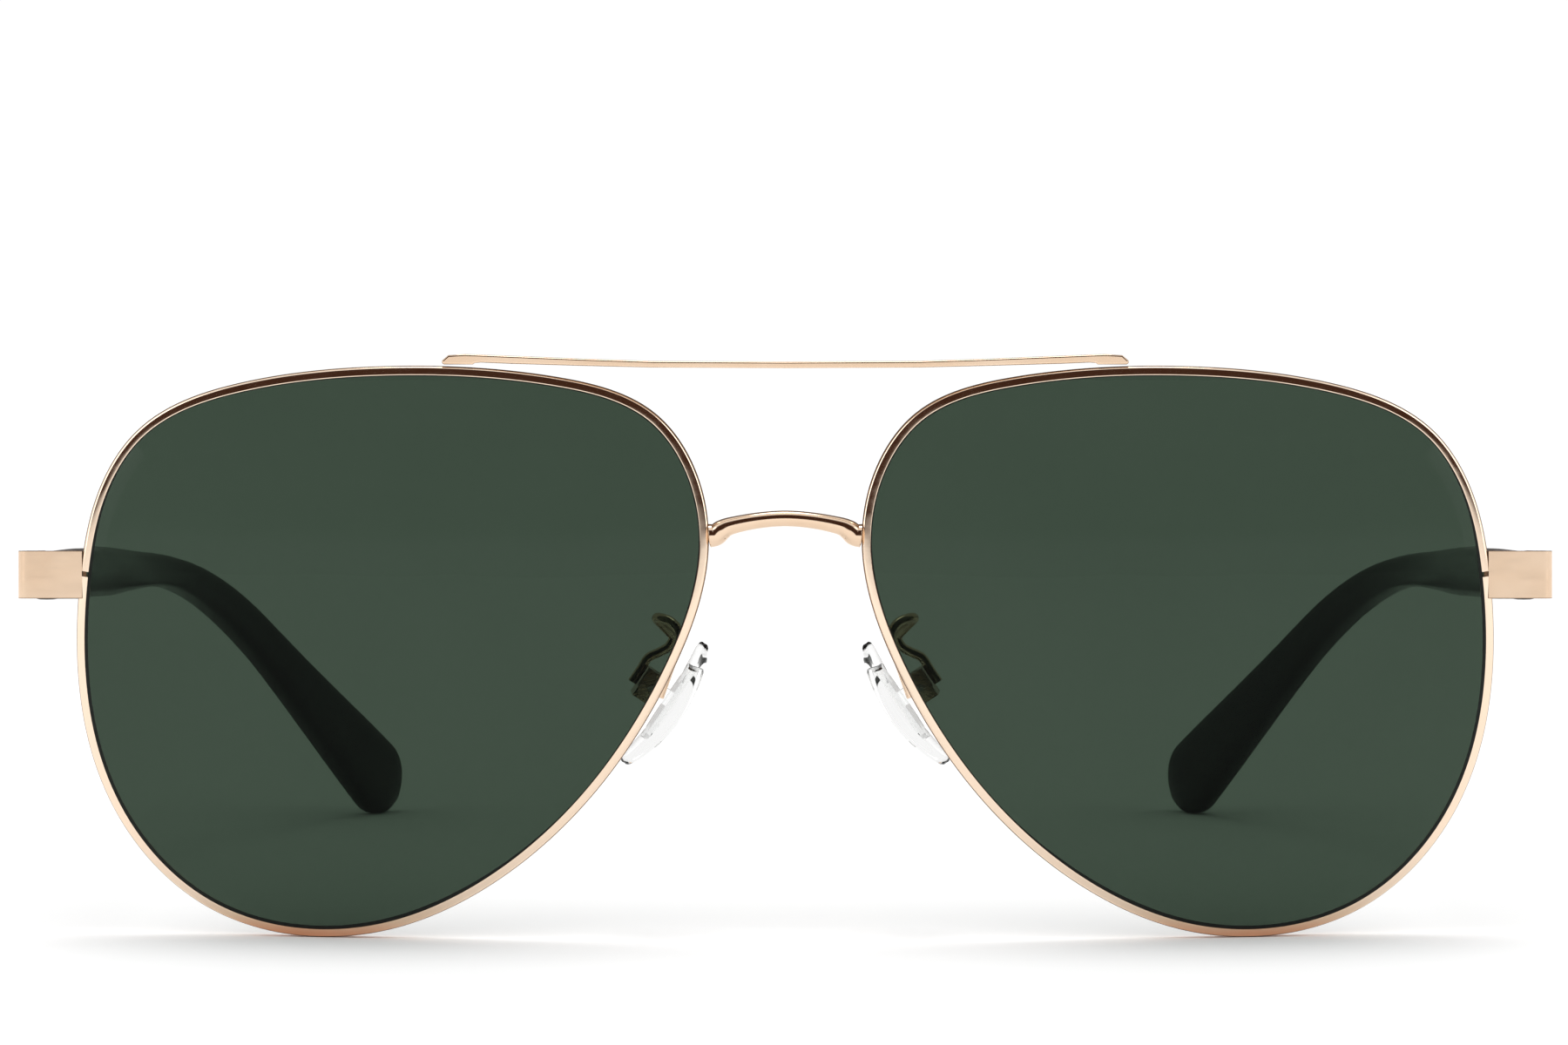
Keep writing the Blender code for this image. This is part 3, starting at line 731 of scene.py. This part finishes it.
def make_world():
    """A bright studio with a dark wall in front and one behind, seen only by mirror reflections."""
    world = bpy.data.worlds.new("studio")
    bpy.context.scene.world = world
    world.use_nodes = True
    nodes, links = world.node_tree.nodes, world.node_tree.links
    sky = nodes["Background"]
    place = nodes.new("ShaderNodeTexCoord")
    apart = nodes.new("ShaderNodeSeparateXYZ")
    links.new(place.outputs["Generated"], apart.inputs[0])

    def band(value, start, end):
        made = nodes.new("ShaderNodeMapRange")
        made.interpolation_type = "SMOOTHSTEP"
        made.inputs["From Min"].default_value = start
        made.inputs["From Max"].default_value = end
        links.new(value, made.inputs["Value"])
        return made.outputs["Result"]

    def times(a, b, operation="MULTIPLY"):
        made = nodes.new("ShaderNodeMath")
        made.operation = operation
        made.use_clamp = True
        for socket, value in zip(made.inputs, (a, b)):
            if isinstance(value, (int, float)):
                socket.default_value = value
            else:
                links.new(value, socket)
        return made.outputs[0]

    front = band(apart.outputs["Y"], -0.3, -0.6)
    above = band(apart.outputs["Z"], 0.05, 0.1)
    below = band(apart.outputs["Z"], 0.9, 0.8)
    dark = times(times(front, above), below)
    behind = band(apart.outputs["Y"], 0.25, 0.6)
    dark = times(dark, times(behind, 0.85), "MAXIMUM")
    rays = nodes.new("ShaderNodeLightPath").outputs
    mirrored_rays = times(rays["Is Glossy Ray"], rays["Transmission Depth"], "SUBTRACT")
    dark = times(dark, mirrored_rays)
    mix = nodes.new("ShaderNodeMix")
    mix.data_type = "RGBA"
    mix.inputs[6].default_value = (1.0, 1.0, 1.0, 1.0)
    mix.inputs[7].default_value = (0.05, 0.022, 0.013, 1.0)
    links.new(dark, mix.inputs[0])
    links.new(mix.outputs[2], sky.inputs["Color"])
    sky.inputs["Strength"].default_value = SKY_STRENGTH


def make_sun():
    """A broad, high lamp that gives the table its soft shadows."""
    data = bpy.data.lights.new("sun", "SUN")
    data.energy = SUN_STRENGTH
    data.angle = SUN_SPREAD
    sun = bpy.data.objects.new("sun", data)
    bpy.context.scene.collection.objects.link(sun)
    sun.rotation_euler = (SUN_TILT, 0, 0)


def make_light(name, place, target, size, power):
    data = bpy.data.lights.new(name, "AREA")
    data.shape = "RECTANGLE"
    data.size, data.size_y = size
    data.energy = power
    light = bpy.data.objects.new(name, data)
    bpy.context.scene.collection.objects.link(light)
    light.location = place
    light.rotation_euler = (Vector(target) - Vector(place)).to_track_quat("-Z", "Y").to_euler()


def make_stage():
    corners = [(FLOOR_HALF * x, FLOOR_HALF * y, 0) for x, y in ((-1, -1), (1, -1), (1, 1), (-1, 1))]
    floor = mesh_object("floor", corners, [(0, 1, 2, 3)])
    paint(floor, floor_paint())
    make_world()
    make_sun()
    make_light("left_box", (-0.7, -0.35, 0.35), (0, -0.05, 0.03), BOX_SIZE, BOX_POWER)
    make_light("right_box", (0.7, -0.35, 0.35), (0, -0.05, 0.03), BOX_SIZE, BOX_POWER)
    data = bpy.data.cameras.new("camera")
    data.sensor_width = 36.0
    data.lens = CAMERA_LENS
    data.clip_start = 0.01
    camera = bpy.data.objects.new("camera", data)
    bpy.context.scene.collection.objects.link(camera)
    camera.location = Vector((CAMERA_SIDE, LUG_Y - CAMERA_AHEAD, CAMERA_HEIGHT)) * MM
    camera.rotation_euler = (math.pi / 2 - CAMERA_PITCH, 0, 0)
    bpy.context.scene.camera = camera
    bpy.context.scene.view_settings.view_transform = "Standard"


# ---------------------------------------------------------------- putting it together

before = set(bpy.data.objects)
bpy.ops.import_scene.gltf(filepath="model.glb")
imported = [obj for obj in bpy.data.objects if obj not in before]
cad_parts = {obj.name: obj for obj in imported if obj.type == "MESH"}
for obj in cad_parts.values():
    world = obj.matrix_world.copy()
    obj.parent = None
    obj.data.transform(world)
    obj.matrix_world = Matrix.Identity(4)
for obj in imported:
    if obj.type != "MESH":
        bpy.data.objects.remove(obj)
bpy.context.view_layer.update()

SATIN = rose_gold("satin_rose_gold", True)
POLISHED = rose_gold("polished_rose_gold", False)
# The rims' gold, with painted shade that turns it copper near the table.
RIM_GOLD = rose_gold("rim_gold", False, painted_foot_shade=True)
# Painted shade: a dark brown metal laid on the rim's outer rounding, the lug's rounded edges and the
# step beside its lip, standing in for dark reflections and shade there.
PAINTED_EDGE_SHADE = plain_metal("painted_edge_shade", (0.16, 0.09, 0.05), (0.28, 0.17, 0.10), 0.35)
HINGE_METAL = plain_metal("hinge_metal", (0.56, 0.43, 0.32), (0.74, 0.60, 0.47), 0.26)
STEEL = plain_metal("screw_steel", (0.42, 0.41, 0.40), (0.62, 0.60, 0.58), 0.24)
WIRE_METAL = plain_metal("core_wire_metal", (0.5, 0.46, 0.42), (0.66, 0.62, 0.57), 0.35)
LENS = green_lens()
# Painted shade for the line between lens and rim.
LENS_EDGE_SHADE = lens_edge_painted_shade()
ACETATE = black_acetate()
SILICONE = clear_soft("clear_silicone", (0.93, 0.93, 0.925), 0.03, 1.13)
PAD_CORE = clear_soft("clear_pad_core", (0.93, 0.935, 0.93), 0.06, 1.35)

OUTLINE = closed_spline(LENS_OUTLINE, OUTLINE_STEPS)


def place_pair(left, materials, body, node):
    """Gives a left piece and its mirror image a material and a body, and hides the CAD node each
    stands in for.
    """
    pair = [(left, "left"), (mirrored(left, left.name.replace("left_", "right_", 1)), "right")]
    for obj, side in pair:
        paint(obj, *materials)
        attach(obj, body.format(side=side))
        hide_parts(node.format(side=side))


def place_middle(obj, material, node):
    paint(obj, material)
    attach(obj, "front")
    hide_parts(node)


place_pair(make_rim(OUTLINE), [RIM_GOLD, PAINTED_EDGE_SHADE], "front", "{side}_rim")
place_pair(make_lens(OUTLINE), [LENS, LENS_EDGE_SHADE], "front", "{side}_lens")
place_pair(make_lug(), [POLISHED, PAINTED_EDGE_SHADE], "front", "{side}_lug")
place_pair(make_temple(), [ACETATE], "{side}_temple", "{side}_temple")
place_pair(make_pad(), [SILICONE], "{side}_pad", "{side}_nose_pad")
place_pair(make_pad_arm(), [POLISHED], "front", "{side}_pad_arm")
place_middle(make_bridge(), POLISHED, "bridge")
place_middle(make_brow_bar(), POLISHED, "brow_bar")

CAD_FINISH = {
    "closing_block_upper": (SATIN, 0.15),
    "closing_block_lower": (SATIN, 0.15),
    "closing_screw": (STEEL, 0.05),
    "hinge_front": (HINGE_METAL, 0.08),
    "hinge_screw": (STEEL, 0.05),
    "pad_box": (HINGE_METAL, 0.2),
    "pad_screw": (STEEL, 0.05),
    "temple_hinge": (HINGE_METAL, 0.08),
    "temple_core": (WIRE_METAL, 0.0),
    "pad_core": (PAD_CORE, 0.06),
}
for part, (material, rounding) in CAD_FINISH.items():
    for side in ("left", "right"):
        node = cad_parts[f"{side}_{part}"]
        paint(node, material)
        if rounding:
            round_edges(node, rounding, 2)

make_stage()
